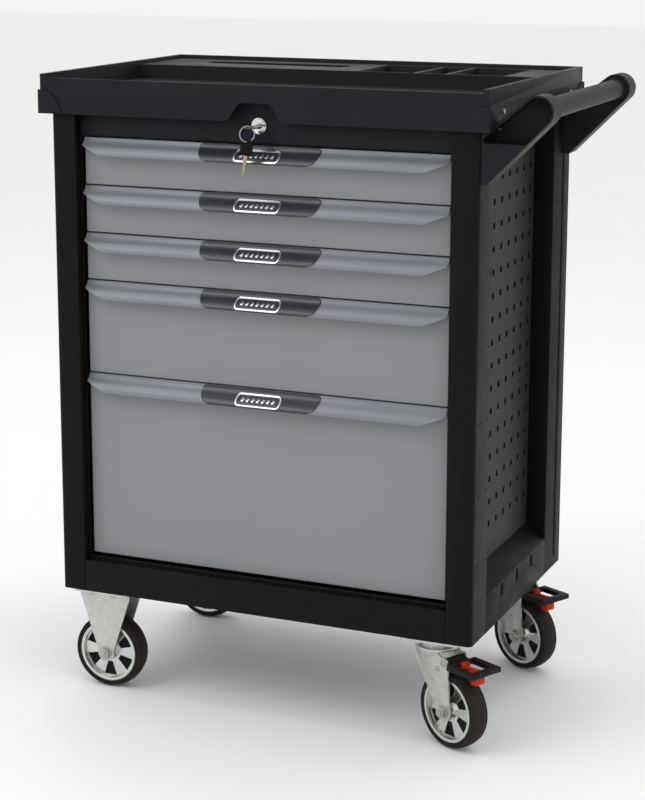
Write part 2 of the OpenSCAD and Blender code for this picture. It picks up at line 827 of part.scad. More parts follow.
module swivel_fork(y) {
    color([0.6, 0.6, 0.58]) swivel_at(y) fork_body();
}

module fixed_tyre(y) {
    color([0.17, 0.16, 0.15]) fixed_wheel_at(y) tyre();
}

module fixed_rim(y) {
    color([0.7, 0.7, 0.69]) fixed_wheel_at(y) rim();
}

module swivel_tyre(y) {
    color([0.17, 0.16, 0.15]) swivel_at(y) translate([trail, 0, axle_z]) tyre();
}

module swivel_rim(y) {
    color([0.7, 0.7, 0.69]) swivel_at(y) translate([trail, 0, axle_z]) rim();
}

module brake_pedal(y) {
    color([0.15, 0.14, 0.14]) swivel_at(y) pedal_body();
}

// Brake pedal with a window and a brake tab below, in the fork's frame
module pedal_body() {
    arm_half = cheek_gap - 1;
    step_x = pedal_pivot[0] + 16;
    top = pedal_pivot[1] + 3;
    tab_x = pedal_pivot[0] + tab_reach;
    tab_t = 4;
    tab_half = 9;
    tab_drop = 15;
    translate([pedal_pivot[0], cheek_gap + cheek_t, pedal_pivot[1]]) rotate([90, 0, 0])
        cylinder(r = pedal_r, h = 2 * (cheek_gap + cheek_t));
    difference() {
        union() {
            translate([pedal_pivot[0], arm_half, pedal_pivot[1]]) rotate([90, 0, 0])
                cylinder(r = 6.5, h = 2 * arm_half);
            block(pedal_pivot[0], step_x + 1, -arm_half, arm_half, top - pedal_t - 1, top);
            block(step_x, pedal_pivot[0] + pedal_l, -pedal_half, pedal_half, top - pedal_t, top);
        }
        block(step_x + 6, pedal_pivot[0] + pedal_l - pedal_frame, -pedal_half + pedal_frame,
            pedal_half - pedal_frame, 0, 2 * top);
    }
    block(step_x, tab_x, -tab_half, tab_half, top - pedal_t - tab_t, top - pedal_t);
    block(tab_x - 2 * tab_t, tab_x, -tab_half, tab_half, top - pedal_t - tab_drop, top - pedal_t);
}

// Caster bolts with washers under the base, and the screws of the tray and the handle
module fasteners() {
    color([0.5, 0.5, 0.5]) {
        for (x = [fixed_x, swivel_x], y = [caster_y0, caster_y1], sx = [-1, 1], sy = [-1, 1])
            translate([x + sx * bolt_x, y + sy * bolt_y, base_z - plate_t]) {
                translate([0, 0, -5]) cylinder(r = 6.5, h = 5, $fn = 6);
                translate([0, 0, -eps]) cylinder(r = bolt_r, h = plate_t + steel_t + 3);
                translate([0, 0, plate_t + steel_t]) cylinder(r = 6.5, h = 5, $fn = 6);
            }
        for (s = [-1, 1]) translate([tray_x, s * (half_d - 62), top_z + 26]) rotate([0, 90, 0])
            cylinder(r = 4, h = 2);
    }
}

left_side_panel();
right_side_panel();
back_panel();
base_pan();
welded_frame();
front_posts();
rear_posts();
front_beam();
side_skirts();
top_tray();
tray_mat();
handle_brackets();
handle_tube();
lock_housing();
cabinet_slides();
fixed_forks();
swivel_plates();
fasteners();
lock_plug();
key();
key_ring();
lock_bar();
for (i = [0 : drawer_count - 1]) {
    drawer_box(i);
    drawer_front(i);
    pull_rail(i);
    grip(i);
    mid_slides(i);
}
swivel_fork(caster_y0);  // swivel_fork_front
swivel_fork(caster_y1);  // swivel_fork_rear
fixed_tyre(caster_y0);  // tyre_fixed_front
fixed_tyre(caster_y1);  // tyre_fixed_rear
swivel_tyre(caster_y0);  // tyre_swivel_front
swivel_tyre(caster_y1);  // tyre_swivel_rear
fixed_rim(caster_y0);  // rim_fixed_front
fixed_rim(caster_y1);  // rim_fixed_rear
swivel_rim(caster_y0);  // rim_swivel_front
swivel_rim(caster_y1);  // rim_swivel_rear
brake_pedal(caster_y0);  // brake_pedal_front
brake_pedal(caster_y1);  // brake_pedal_rear
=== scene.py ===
import bpy
import bmesh
import json
import math
from mathutils import Matrix, Vector


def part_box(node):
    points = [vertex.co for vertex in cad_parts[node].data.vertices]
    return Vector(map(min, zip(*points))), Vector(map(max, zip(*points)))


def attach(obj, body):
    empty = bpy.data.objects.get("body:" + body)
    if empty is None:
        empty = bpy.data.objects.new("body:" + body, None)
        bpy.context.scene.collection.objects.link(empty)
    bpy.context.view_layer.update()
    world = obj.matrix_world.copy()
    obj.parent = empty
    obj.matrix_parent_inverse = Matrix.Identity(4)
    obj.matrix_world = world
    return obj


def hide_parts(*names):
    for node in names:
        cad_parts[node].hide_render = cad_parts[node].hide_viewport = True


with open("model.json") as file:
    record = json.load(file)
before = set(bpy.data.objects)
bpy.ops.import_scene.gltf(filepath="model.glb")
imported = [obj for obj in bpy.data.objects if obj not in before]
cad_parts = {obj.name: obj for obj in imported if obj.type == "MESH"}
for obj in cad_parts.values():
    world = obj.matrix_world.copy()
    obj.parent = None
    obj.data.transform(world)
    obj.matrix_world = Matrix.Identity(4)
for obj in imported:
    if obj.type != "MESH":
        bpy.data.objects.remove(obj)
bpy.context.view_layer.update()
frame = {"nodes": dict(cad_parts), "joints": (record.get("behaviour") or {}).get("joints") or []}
nodes = frame["nodes"]
joints = {joint["name"]: joint for joint in frame["joints"]}
mm = 0.001
print("frame loaded:", len(nodes), "nodes")

# the camera stands to the right of the chest, a little above its top
cameraSettings = {
    "place": (1.30614, -3.05213, 1.29017),
    "turn": 0.4097,
    "tilt": -0.2071,
    "lens": 90.65,
    "shift": (0.02, -0.08),
    "sensor": 36,
    "clip": (0.05, 60),
}


def addCamera(settings):
    data = bpy.data.cameras.new("camera")
    data.lens = settings["lens"]
    data.sensor_width = settings["sensor"]
    data.shift_x, data.shift_y = settings["shift"]
    data.clip_start, data.clip_end = settings["clip"]
    camera = bpy.data.objects.new("camera", data)
    camera.location = settings["place"]
    camera.rotation_euler = (math.pi / 2 + settings["tilt"], 0, settings["turn"])
    bpy.context.scene.collection.objects.link(camera)
    bpy.context.scene.camera = camera


addCamera(cameraSettings)
print("camera made")


def paint(red, green, blue):
    # a colour picked on screen, as the linear colour that the shaders want
    values = [v / 255 for v in (red, green, blue)]
    linear = [v / 12.92 if v <= 0.04045 else ((v + 0.055) / 1.055) ** 2.4 for v in values]
    return (*linear, 1)


class Wire:
    # wraps one shader socket, so that values can be added and multiplied as plain sums
    def __init__(self, tree, socket=None):
        self.tree, self.socket = tree, socket

    def node(self, kind, settings=None, links=None, output=0):
        made = self.tree.nodes.new(kind)
        for key, value in (settings or {}).items():
            setattr(made, key, value)
        for key, value in (links or {}).items():
            if isinstance(value, Wire):
                self.tree.links.new(value.socket, made.inputs[key])
            else:
                made.inputs[key].default_value = value
        return Wire(self.tree, made.outputs[output])

    def maths(self, operation, first, second):
        return self.node("ShaderNodeMath", {"operation": operation}, {0: first, 1: second})

    def __add__(self, other):
        return self.maths("ADD", self, other)

    __radd__ = __add__

    def __mul__(self, other):
        return self.maths("MULTIPLY", self, other)

    __rmul__ = __mul__

    def __sub__(self, other):
        return self.maths("SUBTRACT", self, other)

    def __rsub__(self, other):
        return self.maths("SUBTRACT", other, self)

    def noise(self, scale, detail=3, stretch=(1, 1, 1)):
        spread = self.node("ShaderNodeMapping", None, {"Vector": self, "Scale": stretch})
        return self.node("ShaderNodeTexNoise", None, {"Vector": spread, "Scale": scale, "Detail": detail})

    def between(self, low, high):
        # 0 below low, 1 above high
        return self.node("ShaderNodeMapRange", {"clamp": True},
                         {"Value": self, "From Min": low, "From Max": high})

    def mixed(self, colourA, colourB):
        return self.node("ShaderNodeMix", {"data_type": "RGBA"}, {0: self, 6: colourA, 7: colourB}, 2)


def scaled(colour, factor):
    return (*[min(1, channel * factor) for channel in colour[:3]], 1)


def startFinish(name, metallic=0.0, coat=0.0, gloss=0.5):
    material = bpy.data.materials.new(name)
    material.use_nodes = True
    shader = material.node_tree.nodes["Principled BSDF"]
    shader.inputs["Metallic"].default_value = metallic
    shader.inputs["Coat Weight"].default_value = coat
    shader.inputs["Specular IOR Level"].default_value = gloss
    shader.inputs["Coat Roughness"].default_value = 0.25
    coords = Wire(material.node_tree).node("ShaderNodeTexCoord", output="Object")
    return material, shader, coords


def feed(shader, **links):
    names = {"colour": "Base Color", "roughness": "Roughness", "normal": "Normal"}
    for key, wire in links.items():
        wire.tree.links.new(wire.socket, shader.inputs[names[key]])


def grainBump(coords, height, depth, strength=1.0):
    return coords.node("ShaderNodeBump", None, {"Height": height, "Distance": depth, "Strength": strength})


def mouldedFinish(name, settings):
    # grained plastic: a fine leather grain, cloudy colour, a few shiny rubbed places and a little dust
    material, shader, coords = startFinish(name, coat=settings.get("coat", 0.0),
                                           gloss=settings.get("gloss", 0.13))
    base = settings["colour"]
    cloud = coords.noise(7, 4)
    grain = coords.noise(settings.get("grain", 1500), 2)
    rubbed = coords.noise(23, 5).between(0.52, 0.72)
    dust = coords.noise(60, 6).between(0.62, 0.8) * settings.get("dust", 0.25)
    colour = cloud.mixed(scaled(base, 0.86), scaled(base, 1.16))
    colour = dust.mixed(colour, scaled(base, 2.0))
    roughness = settings["roughness"] + (cloud - 0.5) * 0.12 - rubbed * settings.get("rub", 0.08)
    feed(shader, colour=colour, roughness=roughness,
         normal=grainBump(coords, grain, settings.get("depth", 0.00012), 0.6))
    return material


def paintedFinish(name, settings):
    # sprayed steel: orange peel, faint clouds, and fine rub marks that show in the gloss
    material, shader, coords = startFinish(name, gloss=settings.get("gloss", 0.13))
    base = settings["colour"]
    cloud = coords.noise(4, 3)
    peel = coords.noise(settings.get("peel", 420), 2)
    marks = coords.noise(9, 6, (1, 1, 7)).between(0.58, 0.75)
    colour = cloud.mixed(scaled(base, 0.95), scaled(base, 1.05))
    roughness = settings["roughness"] + (cloud - 0.5) * 0.08 + marks * 0.07
    feed(shader, colour=colour, roughness=roughness,
         normal=grainBump(coords, peel, settings.get("depth", 0.00006), settings.get("strength", 0.35)))
    return material


def brushedFinish(name, settings):
    # drawn or rolled metal: hairlines along one axis, with clouds of tone
    material, shader, coords = startFinish(name, metallic=settings.get("metal", 1.0))
    base = settings["colour"]
    hair = coords.noise(settings.get("hair", 260), 3, settings["stretch"])
    cloud = coords.noise(11, 4)
    spots = coords.noise(190, 3).between(0.6, 0.75)
    tone = hair * 0.6 + cloud * 0.4
    colour = tone.mixed(scaled(base, 0.82), scaled(base, 1.14))
    roughness = settings["roughness"] + (hair - 0.5) * 0.2 + spots * 0.06
    feed(shader, colour=colour, roughness=roughness,
         normal=grainBump(coords, hair, 0.00004, settings.get("strength", 0.3)))
    return material


def zincFinish(name, settings):
    # galvanised steel: spangle cells of slightly different grey
    material, shader, coords = startFinish(name, metallic=0.85)
    base = settings["colour"]
    cells = coords.node("ShaderNodeTexVoronoi", None, {"Vector": coords, "Scale": 170}, "Color")
    grey = cells.node("ShaderNodeSeparateColor", None, {"Color": cells})
    cloud = coords.noise(38, 4)
    colour = (grey * 0.5 + cloud * 0.5).mixed(scaled(base, 0.8), scaled(base, 1.12))
    roughness = settings["roughness"] + (grey - 0.5) * 0.14
    feed(shader, colour=colour, roughness=roughness, normal=grainBump(coords, cloud, 0.0001, 0.4))
    return material


def rubberFinish(name, settings):
    # tyre rubber: matt, scuffed and dusty
    material, shader, coords = startFinish(name, gloss=0.15)
    base = settings["colour"]
    cloud = coords.noise(26, 5)
    scuff = coords.noise(240, 5).between(0.55, 0.7)
    colour = (scuff * 0.6 + cloud * 0.3).mixed(scaled(base, 0.85), scaled(base, 1.7))
    roughness = settings["roughness"] + (cloud - 0.5) * 0.15
    feed(shader, colour=colour, roughness=roughness,
         normal=grainBump(coords, coords.noise(900, 3), 0.00012, 0.7))
    return material


def matFinish(name, settings):
    # anti-slip mat: rows of small round studs
    material, shader, coords = startFinish(name, gloss=0.12)
    base = settings["colour"]
    studs = coords.node("ShaderNodeTexVoronoi", {"feature": "F1"},
                        {"Vector": coords, "Scale": 1 / settings["pitch"], "Randomness": 0.0}, "Distance")
    top = 1 - studs.between(0.18, 0.42)
    cloud = coords.noise(8, 5)
    colour = (cloud * 0.6 + top * 0.25).mixed(scaled(base, 0.8), scaled(base, 1.35))
    roughness = settings["roughness"] + (cloud - 0.5) * 0.2 - top * 0.06
    feed(shader, colour=colour, roughness=roughness, normal=grainBump(coords, top, 0.0004, 0.6))
    return material


# each finish: the function that makes it, and what is particular to it
finishSettings = {
    "panelPaint": (paintedFinish, {"colour": paint(42, 40, 41), "roughness": 0.5, "peel": 900,
                                   "depth": 0.0001, "strength": 0.6}),
    "backPaint": (paintedFinish, {"colour": paint(30, 29, 30), "roughness": 0.5, "peel": 800,
                                  "depth": 0.0001, "strength": 0.5}),
    "framePaint": (paintedFinish, {"colour": paint(24, 23, 25), "roughness": 0.48, "peel": 900,
                                   "depth": 0.0001, "strength": 0.5}),
    "drawerPaint": (paintedFinish, {"colour": paint(132, 134, 137), "roughness": 0.42, "strength": 0.25,
                                    "gloss": 0.4}),
    "boxPaint": (paintedFinish, {"colour": paint(66, 67, 70), "roughness": 0.5}),
    "postPlastic": (mouldedFinish, {"colour": paint(12, 10, 10), "roughness": 0.56, "grain": 1300,
                                    "dust": 0.12}),
    "beamPlastic": (mouldedFinish, {"colour": paint(15, 13, 13), "roughness": 0.58, "grain": 1200,
                                    "dust": 0.15}),
    "trayPlastic": (mouldedFinish, {"colour": paint(27, 27, 32), "roughness": 0.48, "grain": 1500,
                                    "dust": 0.15}),
    "gripPlastic": (mouldedFinish, {"colour": paint(38, 40, 48), "roughness": 0.28, "rub": 0.04,
                                    "depth": 0.00003, "dust": 0.05, "gloss": 0.5, "coat": 0.2}),
    "pedalPlastic": (mouldedFinish, {"colour": paint(28, 26, 26), "roughness": 0.5}),
    "pedalRed": (mouldedFinish, {"colour": paint(176, 44, 20), "roughness": 0.42, "dust": 0.05,
                                 "depth": 0.00005}),
    "tubePaint": (paintedFinish, {"colour": paint(16, 13, 12), "roughness": 0.5, "gloss": 0.2}),
    "railMetal": (brushedFinish, {"colour": paint(126, 129, 135), "roughness": 0.42, "metal": 0.35,
                                  "stretch": (0.02, 1, 1), "hair": 700}),
    "badgeMetal": (brushedFinish, {"colour": paint(205, 206, 210), "roughness": 0.25,
                                   "stretch": (0.05, 1, 1), "hair": 900}),
    "slideZinc": (zincFinish, {"colour": paint(176, 177, 174), "roughness": 0.38}),
    "forkZinc": (zincFinish, {"colour": paint(196, 197, 192), "roughness": 0.36}),
    "lockChrome": (brushedFinish, {"colour": paint(226, 226, 224), "roughness": 0.16,
                                   "stretch": (1, 1, 1), "hair": 300, "strength": 0.1}),
    "keyMetal": (brushedFinish, {"colour": paint(96, 92, 84), "roughness": 0.34, "stretch": (1, 0.2, 1),
                                 "hair": 500}),
    "keyBrass": (brushedFinish, {"colour": paint(176, 156, 134), "roughness": 0.42,
                                 "stretch": (1, 1, 0.1), "hair": 500}),
    "tyreRubber": (rubberFinish, {"colour": paint(38, 33, 31), "roughness": 0.68}),
    "wheelMetal": (brushedFinish, {"colour": paint(212, 211, 208), "roughness": 0.3,
                                   "stretch": (1, 1, 1), "hair": 400, "strength": 0.03}),
    "matRubber": (matFinish, {"colour": paint(27, 25, 26), "roughness": 0.72, "pitch": 0.0045}),
    "webPaint": (paintedFinish, {"colour": paint(22, 21, 22), "roughness": 0.5}),
    "linerRubber": (matFinish, {"colour": paint(46, 46, 48), "roughness": 0.7, "pitch": 0.006}),
}
finishes = {name: make(name, settings) for name, (make, settings) in finishSettings.items()}
print("finishes made")


def finishPiece(bm, name, body, finish, replaces=(), smooth=35, recalc=True, more=()):
    # recalc is off for copies of CAD nodes, whose faces already point outwards
    if recalc:
        bmesh.ops.remove_doubles(bm, verts=bm.verts, dist=1e-6)
        bmesh.ops.recalc_face_normals(bm, faces=bm.faces)
        if bm.calc_volume(signed=True) < 0:
            bmesh.ops.reverse_faces(bm, faces=bm.faces)
    mesh = bpy.data.meshes.new(name)
    bm.to_mesh(mesh)
    bm.free()
    mesh.polygons.foreach_set("use_smooth", [True] * len(mesh.polygons))
    mesh.set_sharp_from_angle(angle=math.radians(smooth))
    piece = bpy.data.objects.new(name, mesh)
    bpy.context.scene.collection.objects.link(piece)
    for used in (finish, *more):
        mesh.materials.append(finishes[used])
    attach(piece, body)
    if replaces:
        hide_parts(*replaces)


def nodeCopy(node):
    bm = bmesh.new()
    bm.from_mesh(nodes[node].data)
    bmesh.ops.remove_doubles(bm, verts=bm.verts, dist=2e-6)
    bmesh.ops.dissolve_limit(bm, angle_limit=math.radians(0.3), verts=bm.verts, edges=bm.edges)
    return bm


def bevelEdges(bm, edges, radius, segments):
    bmesh.ops.bevel(bm, geom=list(edges), offset=radius, offset_type="OFFSET", segments=segments,
                    profile=0.5, affect="EDGES", clamp_overlap=True, material=-1)


def roundEdges(bm, radius, segments=2, pick=None):
    # rounds the sharp edges that pick allows
    bevelEdges(bm, [edge for edge in bm.edges
                    if len(edge.link_faces) == 2 and edge.calc_face_angle() > math.radians(32)
                    and (pick is None or pick(edge))], radius, segments)


def addBlock(bm, low, high, radius=0.0, segments=2):
    size = Vector(high) - Vector(low)
    middle = (Vector(high) + Vector(low)) / 2
    block = bmesh.ops.create_cube(bm, size=1,
                                  matrix=Matrix.Translation(middle) @ Matrix.Diagonal((*size, 1)))
    if radius:
        bevelEdges(bm, {edge for vert in block["verts"] for edge in vert.link_edges}, radius, segments)


def addRound(bm, centre, axis, radius, length, edge=0.0, segments=32):
    # a bar or disc with bevelled rims; centre is the middle, and axis the way it points
    turn = Vector(axis).normalized().to_track_quat("Z", "Y").to_matrix().to_4x4()
    made = bmesh.ops.create_cone(bm, cap_ends=True, segments=segments, radius1=radius, radius2=radius,
                                 depth=length, matrix=Matrix.Translation(centre) @ turn)
    if edge:
        rims = {e for v in made["verts"] for e in v.link_edges if e.calc_face_angle(0) > math.radians(40)}
        bevelEdges(bm, rims, edge, 2)


def joinMesh(bm, part):
    holder = bpy.data.meshes.new("holder")
    part.to_mesh(holder)
    part.free()
    bm.from_mesh(holder)
    bpy.data.meshes.remove(holder)


def lathe(bm, outline, centre, axis, steps):
    # outline is a closed list of (distance from the axis, place along it)
    part = bmesh.new()
    verts = [part.verts.new((radius, 0, along)) for radius, along in outline]
    edges = [part.edges.new((verts[k], verts[(k + 1) % len(verts)])) for k in range(len(verts))]
    bmesh.ops.spin(part, geom=verts + edges, cent=(0, 0, 0), axis=(0, 0, 1), steps=steps,
                   angle=2 * math.pi, use_merge=True)
    turn = Vector(axis).normalized().to_track_quat("Z", "Y").to_matrix().to_4x4()
    bmesh.ops.transform(part, verts=part.verts, matrix=Matrix.Translation(centre) @ turn)
    joinMesh(bm, part)


def dress(node, finish):
    # a CAD node that keeps its own mesh, with a better finish
    mesh = nodes[node].data
    mesh.materials.clear()
    mesh.materials.append(finishes[finish])


# plain CAD nodes that only need their finish
for name in ("left_side_panel", "right_side_panel"):
    dress(name, "panelPaint")
dress("base_pan", "backPaint")
dress("cabinet_slides", "framePaint")
dress("lock_bar", "slideZinc")
for number in range(1, 6):
    dress(f"mid_slides_{number}", "slideZinc")
print("plain nodes dressed")

# cabinet: welded frame, posts, beam, skirts, back
frameSettings = {"edge": 0.5 * mm, "postEdge": 1.6 * mm, "beamEdge": 1.8 * mm, "beamFace": -0.238,
                 "skirtEdge": 1.2 * mm}

bm = nodeCopy("welded_frame")
roundEdges(bm, frameSettings["edge"])
finishPiece(bm, "weldedFrame", "cabinet", "framePaint", ["welded_frame"], recalc=False)

for node, name in (("front_posts", "frontPosts"), ("rear_posts", "rearPosts")):
    bm = nodeCopy(node)
    roundEdges(bm, frameSettings["postEdge"], 3)
    finishPiece(bm, name, "cabinet", "postPlastic", [node], recalc=False)

bm = nodeCopy("front_beam")
roundEdges(bm, frameSettings["beamEdge"], 3,
           pick=lambda e: min(v.co.y for v in e.verts) < frameSettings["beamFace"])
finishPiece(bm, "frontBeam", "cabinet", "beamPlastic", ["front_beam"], recalc=False)

bm = nodeCopy("side_skirts")
roundEdges(bm, frameSettings["skirtEdge"], 2)
finishPiece(bm, "sideSkirts", "cabinet", "beamPlastic", ["side_skirts"], recalc=False)
print("frame, posts, beam and skirts made")


# raised strip with round ends down the side of each rear post
stripSettings = {"width": 26 * mm, "proud": 1.6 * mm, "inset": 30 * mm, "edge": 1.1 * mm, "ends": 24,
                 "foot": 14 * mm, "head": 20 * mm, "sink": 0.1 * mm}


def sideStrip(bm, side, x, y, low, high, settings):
    half = settings["width"] / 2
    turn = Matrix.Rotation(math.pi / 2 * side, 4, "Y")
    made = bmesh.ops.create_circle(bm, cap_ends=True, segments=settings["ends"], radius=half,
                                   matrix=Matrix.Translation((x, y, (low + high) / 2)) @ turn)
    for vert in made["verts"]:
        vert.co.z += math.copysign((high - low) / 2 - half, vert.co.z - (low + high) / 2)
    face = made["verts"][0].link_faces[0]
    out = bmesh.ops.extrude_face_region(bm, geom=[face])
    top = [g for g in out["geom"] if isinstance(g, bmesh.types.BMVert)]
    bmesh.ops.translate(bm, verts=top, vec=(side * settings["proud"], 0, 0))
    rim = {e for v in top for e in v.link_edges if all(w in top for w in e.verts)}
    bevelEdges(bm, rim, settings["edge"], 3)


postLow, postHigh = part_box("rear_posts")
bm = bmesh.new()
for side in (-1, 1):
    sideStrip(bm, side, side * (postHigh.x - stripSettings["sink"]), postHigh.y - stripSettings["inset"],
              postLow.z + stripSettings["foot"], postHigh.z - stripSettings["head"], stripSettings)
finishPiece(bm, "rearPostStrips", "cabinet", "postPlastic")

# small moulded ticks at each joint of the drawers, on the face and the outer side of the front posts
tickSettings = {"heights": (755, 641, 527, 413, 300), "size": (7 * mm, 1.4 * mm, 1.8 * mm),
                "proud": 0.7 * mm, "in": 7 * mm, "back": (22 * mm, 60 * mm), "root": 1 * mm,
                "edge": 0.4 * mm}
frontLow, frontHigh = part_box("front_posts")
long, deep, tall = tickSettings["size"]
bm = bmesh.new()
for side in (-1, 1):
    middle = side * (frontHigh.x - tickSettings["in"])
    near, far = sorted((side * frontHigh.x, side * (frontHigh.x + tickSettings["proud"])))
    for height in tickSettings["heights"]:
        foot, head = height * mm - tall / 2, height * mm + tall / 2
        addBlock(bm, (middle - long / 2, frontLow.y - tickSettings["proud"], foot),
                 (middle + long / 2, frontLow.y + deep, head), tickSettings["edge"])
        for back in tickSettings["back"]:
            y = frontLow.y + back
            addBlock(bm, (near - tickSettings["root"], y - long / 2, foot), (far, y + long / 2, head),
                     tickSettings["edge"])
finishPiece(bm, "postTicks", "cabinet", "postPlastic")

# L-shaped hooks moulded on the face of the beam
hookSettings = {"places": (-227, -119, -16, 90, 195), "drop": 16 * mm, "long": 9 * mm, "thick": 1.6 * mm,
                "proud": 0.8 * mm, "root": 1 * mm, "edge": 0.35 * mm}
beamLow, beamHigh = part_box("front_beam")
long, thick, root = hookSettings["long"], hookSettings["thick"], hookSettings["root"]
face, z = beamLow.y - hookSettings["proud"], beamHigh.z - hookSettings["drop"]
step = 0.1 * mm  # keeps the two arms from sharing corners
bm = bmesh.new()
for place in hookSettings["places"]:
    x = place * mm
    addBlock(bm, (x, face, z), (x + long, beamLow.y + root, z + thick), hookSettings["edge"])
    addBlock(bm, (x + step, face + step / 2, z - long + thick),
             (x + thick, beamLow.y + root + step, z + 1 * mm), hookSettings["edge"])
finishPiece(bm, "beamHooks", "cabinet", "beamPlastic")
print("strips, ticks and hooks made")


# back panel: one sheet with three pressed fields and a row of screws down each edge
backSettings = {"fields": 3, "border": 34 * mm, "slope": 5 * mm, "press": 3.5 * mm, "fold": 1.5 * mm,
                "screwPitch": 120 * mm, "screwIn": 14 * mm, "screwEnd": 24 * mm, "screwR": 4.5 * mm}
backLow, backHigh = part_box("back_panel")


def pressedSheet(bm, low, high, settings):
    thick = high.y - low.y
    turn = Matrix.Rotation(math.pi / 2, 4, "X")
    middle = ((low.x + high.x) / 2, high.y, (low.z + high.z) / 2)
    bmesh.ops.create_grid(bm, x_segments=1, y_segments=1, size=0.5, matrix=Matrix.Translation(middle)
                          @ turn @ Matrix.Diagonal((high.x - low.x, high.z - low.z, 1, 1)))
    count = settings["fields"]
    pitch = (high.x - low.x) / count
    for k in range(1, count):
        bmesh.ops.bisect_plane(bm, geom=bm.verts[:] + bm.edges[:] + bm.faces[:],
                               plane_co=(low.x + k * pitch, 0, 0), plane_no=(1, 0, 0))
    bmesh.ops.recalc_face_normals(bm, faces=bm.faces)
    fields = bm.faces[:]
    bmesh.ops.inset_individual(bm, faces=fields, thickness=settings["border"])
    bmesh.ops.inset_individual(bm, faces=fields, thickness=settings["slope"])
    inner = {v for f in fields for v in f.verts}
    bmesh.ops.translate(bm, verts=list(inner), vec=(0, settings["press"], 0))
    folds = {e for f in fields for v in f.verts for e in v.link_edges if len(e.link_faces) == 2
             and e.calc_face_angle() > 0.1}
    bevelEdges(bm, folds, settings["fold"], 3)
    out = bmesh.ops.extrude_face_region(bm, geom=bm.faces[:])
    moved = [g for g in out["geom"] if isinstance(g, bmesh.types.BMVert)]
    bmesh.ops.translate(bm, verts=moved, vec=(0, -thick, 0))


bm = bmesh.new()
pressedSheet(bm, backLow, backHigh, backSettings)
finishPiece(bm, "backSheet", "cabinet", "backPaint", ["back_panel"])
bm = bmesh.new()
screwR, end = backSettings["screwR"], backSettings["screwEnd"]
rows = int((backHigh.z - backLow.z) / backSettings["screwPitch"])
for side in (-1, 1):
    x = side * (backHigh.x - backSettings["screwIn"])
    for k in range(rows + 1):
        z = backLow.z + end + k * (backHigh.z - backLow.z - 2 * end) / rows
        addRound(bm, (x, backHigh.y + 1 * mm, z), (0, 1, 0), screwR, 2.4 * mm, 0.8 * mm, 20)
        addRound(bm, (x, backHigh.y + 2.3 * mm, z), (0, 1, 0), screwR * 0.42, 0.3 * mm, 0, 6)
finishPiece(bm, "backScrews", "cabinet", "slideZinc")
print("back made")


# top tray, mat and the fittings on it
traySettings = {"edge": 1.5 * mm, "segments": 3, "depth": 60 * mm}
bm = nodeCopy("top_tray")
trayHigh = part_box("top_tray")[1]
roundEdges(bm, traySettings["edge"], traySettings["segments"],
           pick=lambda e: e.calc_length() > 2.2 * mm
           and max(v.co.z for v in e.verts) > trayHigh.z - traySettings["depth"])
finishPiece(bm, "trayShell", "cabinet", "trayPlastic", ["top_tray"], recalc=False)

matSettings = {"edge": 0.7 * mm}
bm = nodeCopy("tray_mat")
roundEdges(bm, matSettings["edge"])
finishPiece(bm, "trayMat", "cabinet", "matRubber", ["tray_mat"], recalc=False)

handleSettings = {"edge": 2 * mm, "segments": 3, "collar": 1.2 * mm, "collarL": 6 * mm,
                  "collarIn": 3.5 * mm, "steps": 64}
bm = nodeCopy("handle_brackets")
roundEdges(bm, handleSettings["edge"], handleSettings["segments"],
           pick=lambda e: e.calc_length() > 3 * mm)
finishPiece(bm, "handleBrackets", "cabinet", "trayPlastic", ["handle_brackets"],
            recalc=False)

tubeLow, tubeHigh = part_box("handle_tube")
tubeR = (tubeHigh.z - tubeLow.z) / 2
tubeMiddle = (tubeLow + tubeHigh) / 2
bm = bmesh.new()
addRound(bm, tubeMiddle, (0, 1, 0), tubeR, tubeHigh.y - tubeLow.y, 0, handleSettings["steps"])
for end in (-1, 1):
    addRound(bm, (tubeMiddle.x, end * (tubeHigh.y - handleSettings["collarIn"]), tubeMiddle.z), (0, 1, 0),
             tubeR + handleSettings["collar"], handleSettings["collarL"], 1 * mm, handleSettings["steps"])
finishPiece(bm, "handleTube", "cabinet", "tubePaint", ["handle_tube"])
print("tray, mat and handle made")


# lock: plate behind the arch, chrome plug, key, ring and the spare key that hangs on the ring
lockSettings = {"plateEdge": 0.9 * mm, "plugEdge": 0.5 * mm, "keyEdge": 0.6 * mm, "postWidth": 44 * mm}
bm = nodeCopy("lock_housing")
roundEdges(bm, lockSettings["plateEdge"], 2, pick=lambda e: e.calc_length() > 2 * mm)
headerLow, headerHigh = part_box("welded_frame")
plateLow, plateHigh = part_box("lock_housing")
for side in (-1, 1):
    # the header strip runs from the plate to the post
    ends = sorted((side * (plateHigh.x - 1 * mm), side * (frontHigh.x - lockSettings["postWidth"])))
    addBlock(bm, (ends[0], plateLow.y, plateLow.z + 0.2 * mm),
             (ends[1], headerLow.y + 0.5 * mm, headerHigh.z - 2 * mm), 0.6 * mm)
finishPiece(bm, "lockPlate", "cabinet", "trayPlastic", ["lock_housing"], recalc=False)
bm = nodeCopy("lock_plug")
roundEdges(bm, lockSettings["plugEdge"], 2, pick=lambda e: e.calc_length() > 1.2 * mm)
finishPiece(bm, "lockPlug", "lock_plug", "lockChrome", ["lock_plug"], recalc=False)
bm = nodeCopy("key")
roundEdges(bm, lockSettings["keyEdge"], 2, pick=lambda e: e.calc_length() > 0.7 * mm)
finishPiece(bm, "lockKey", "lock_plug", "keyMetal", ["key"], recalc=False)
dress("key_ring", "slideZinc")

